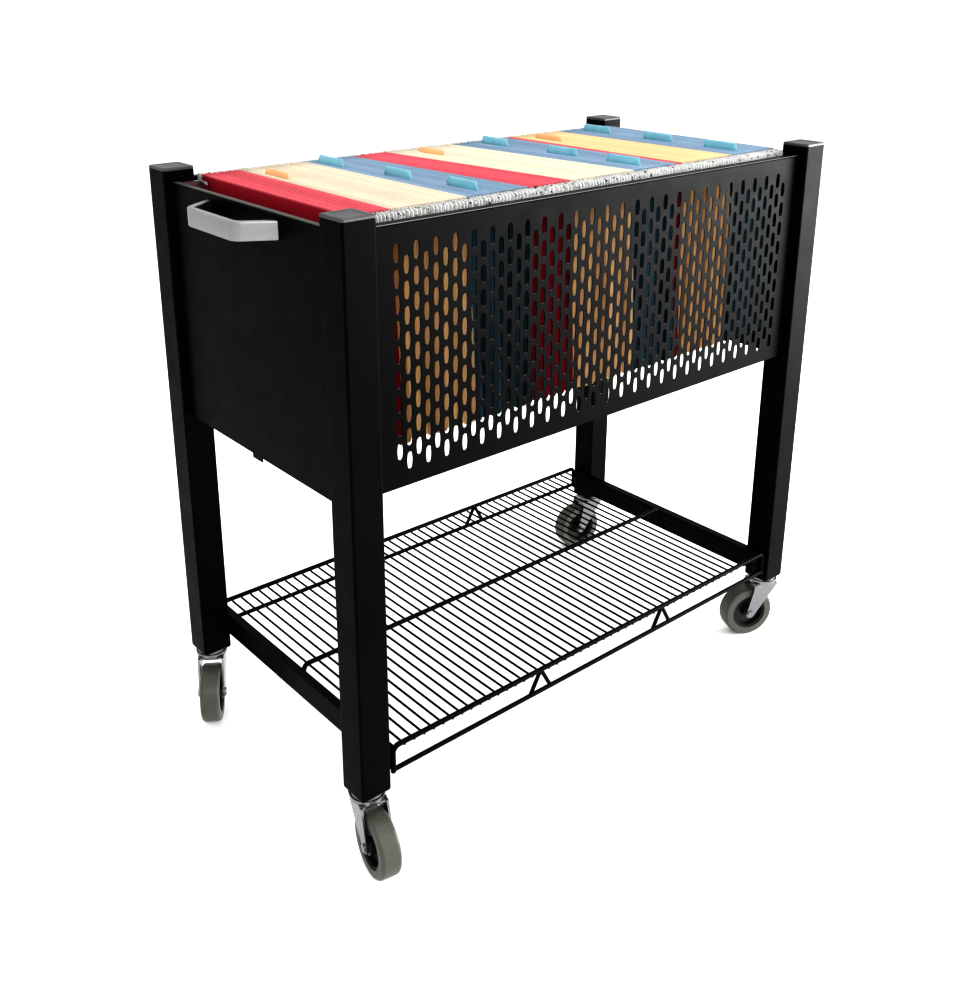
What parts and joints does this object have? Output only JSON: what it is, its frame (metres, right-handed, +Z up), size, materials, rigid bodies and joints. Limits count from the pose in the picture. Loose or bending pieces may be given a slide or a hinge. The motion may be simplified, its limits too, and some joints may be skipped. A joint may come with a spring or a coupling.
{
  "type": "hanging file rack",
  "caption": "Wheeled hanging file rack: bin of perforated steel sheet between square legs, rails holding colour-grouped letter-size folders, wire shelf below, bow handle, swivel casters.",
  "frame": {"origin": "on the floor, midway between the four caster swivel axes", "axes": "+X along the length, away from the handle; +Y towards the rear; +Z up"},
  "size_m": [0.7825, 0.4403, 0.7265],
  "materials": {
    "black_powder_coat": "satin black powder coat",
    "cap_plastic": "dark grey moulded plastic",
    "black_plastic": "black moulded plastic",
    "zinc_plate": "bright zinc plated pressed steel",
    "black_screw": "black coated screws",
    "rail_steel": "bare steel strip",
    "rod_steel": "bright coated steel strip",
    "satin_aluminium": "satin anodised",
    "grey_rubber": "warm grey non-marking rubber",
    "red_card": "uncoated red folder stock",
    "yellow_card": "uncoated pale yellow folder stock",
    "blue_card": "uncoated blue folder stock"
  },
  "bodies": {
    "root": {"leg_front_left": "black_powder_coat", "leg_rear_left": "black_powder_coat", "leg_front_right": "black_powder_coat", "leg_rear_right": "black_powder_coat", "leg_caps": "cap_plastic", "caster_inserts": "black_plastic", "side_panel_front": "black_powder_coat", "side_panel_rear": "black_powder_coat", "end_panel_left": "black_powder_coat", "end_panel_right": "black_powder_coat", "panel_screws": "black_screw", "hanging_rail_front": "rail_steel", "hanging_rail_rear": "rail_steel", "handle": "satin_aluminium", "handle_screws": "black_screw", "cross_bar_left": "black_powder_coat", "cross_bar_right": "black_powder_coat", "cross_bar_screws": "black_screw", "shelf_truss_front": "black_powder_coat", "shelf_truss_rear": "black_powder_coat", "shelf_mid_wire": "black_powder_coat", "shelf_deck_wires": "black_powder_coat", "caster_stem_front_left": "zinc_plate", "caster_stem_rear_left": "zinc_plate", "caster_stem_front_right": "zinc_plate", "caster_stem_rear_right": "zinc_plate"},
    "caster_front_left": {"caster_fork_front_left": "zinc_plate", "caster_axle_front_left": "zinc_plate"},
    "wheel_front_left": {"wheel_hub_front_left": "black_plastic", "wheel_tyre_front_left": "grey_rubber"},
    "caster_rear_left": {"caster_fork_rear_left": "zinc_plate", "caster_axle_rear_left": "zinc_plate"},
    "wheel_rear_left": {"wheel_hub_rear_left": "black_plastic", "wheel_tyre_rear_left": "grey_rubber"},
    "caster_front_right": {"caster_fork_front_right": "zinc_plate", "caster_axle_front_right": "zinc_plate"},
    "wheel_front_right": {"wheel_hub_front_right": "black_plastic", "wheel_tyre_front_right": "grey_rubber"},
    "caster_rear_right": {"caster_fork_rear_right": "zinc_plate", "caster_axle_rear_right": "zinc_plate"},
    "wheel_rear_right": {"wheel_hub_rear_right": "black_plastic", "wheel_tyre_rear_right": "grey_rubber"},
    "folders_red_1_run": {"folders_red_1": "red_card", "rods_red_1": "rod_steel"},
    "folders_yellow_1_run": {"folders_yellow_1": "yellow_card", "rods_yellow_1": "rod_steel"},
    "folders_blue_1_run": {"folders_blue_1": "blue_card", "rods_blue_1": "rod_steel"},
    "folders_red_2_run": {"folders_red_2": "red_card", "rods_red_2": "rod_steel"},
    "folders_yellow_2_run": {"folders_yellow_2": "yellow_card", "rods_yellow_2": "rod_steel"},
    "folders_blue_2_run": {"folders_blue_2": "blue_card", "rods_blue_2": "rod_steel", "folder_red_3": "red_card"},
    "folders_yellow_3_run": {"folders_yellow_3": "yellow_card", "rods_yellow_3": "rod_steel"},
    "folders_blue_3_run": {"folders_blue_3": "blue_card", "rods_blue_3": "rod_steel"}
  },
  "joints": [
    {"name": "caster_front_left_swivel", "type": "hinge", "parent": "root", "child": "caster_front_left", "pos_m": [-0.356, -0.1775, 0.0835], "axis": [0, 0, 1], "continuous": true},
    {"name": "wheel_front_left_roll", "type": "hinge", "parent": "caster_front_left", "child": "wheel_front_left", "pos_m": [-0.36017, -0.20114, 0.037], "axis": [0.9848, -0.1736, 0], "continuous": true},
    {"name": "caster_rear_left_swivel", "type": "hinge", "parent": "root", "child": "caster_rear_left", "pos_m": [-0.356, 0.1775, 0.0835], "axis": [0, 0, 1], "continuous": true},
    {"name": "wheel_rear_left_roll", "type": "hinge", "parent": "caster_rear_left", "child": "wheel_rear_left", "pos_m": [-0.36942, 0.1576, 0.037], "axis": [0.829, -0.5592, 0], "continuous": true},
    {"name": "caster_front_right_swivel", "type": "hinge", "parent": "root", "child": "caster_front_right", "pos_m": [0.356, -0.1775, 0.0835], "axis": [0, 0, 1], "continuous": true},
    {"name": "wheel_front_right_roll", "type": "hinge", "parent": "caster_front_right", "child": "wheel_front_right", "pos_m": [0.33425, -0.16736, 0.037], "axis": [-0.4226, -0.9063, 0], "continuous": true},
    {"name": "caster_rear_right_swivel", "type": "hinge", "parent": "root", "child": "caster_rear_right", "pos_m": [0.356, 0.1775, 0.0835], "axis": [0, 0, 1], "continuous": true},
    {"name": "wheel_rear_right_roll", "type": "hinge", "parent": "caster_rear_right", "child": "wheel_rear_right", "pos_m": [0.33252, 0.18249, 0.037], "axis": [-0.2079, -0.9781, 0], "continuous": true},
    {"name": "folders_red_1_lift", "type": "slide", "parent": "root", "child": "folders_red_1_run", "axis": [0, 0, 1], "range_m": [0, 0.3]},
    {"name": "folders_yellow_1_lift", "type": "slide", "parent": "root", "child": "folders_yellow_1_run", "axis": [0, 0, 1], "range_m": [0, 0.3]},
    {"name": "folders_blue_1_lift", "type": "slide", "parent": "root", "child": "folders_blue_1_run", "axis": [0, 0, 1], "range_m": [0, 0.3]},
    {"name": "folders_red_2_lift", "type": "slide", "parent": "root", "child": "folders_red_2_run", "axis": [0, 0, 1], "range_m": [0, 0.3]},
    {"name": "folders_yellow_2_lift", "type": "slide", "parent": "root", "child": "folders_yellow_2_run", "axis": [0, 0, 1], "range_m": [0, 0.3]},
    {"name": "folders_blue_2_lift", "type": "slide", "parent": "root", "child": "folders_blue_2_run", "axis": [0, 0, 1], "range_m": [0, 0.3]},
    {"name": "folders_yellow_3_lift", "type": "slide", "parent": "root", "child": "folders_yellow_3_run", "axis": [0, 0, 1], "range_m": [0, 0.3]},
    {"name": "folders_blue_3_lift", "type": "slide", "parent": "root", "child": "folders_blue_3_run", "axis": [0, 0, 1], "range_m": [0, 0.3]}
  ]
}
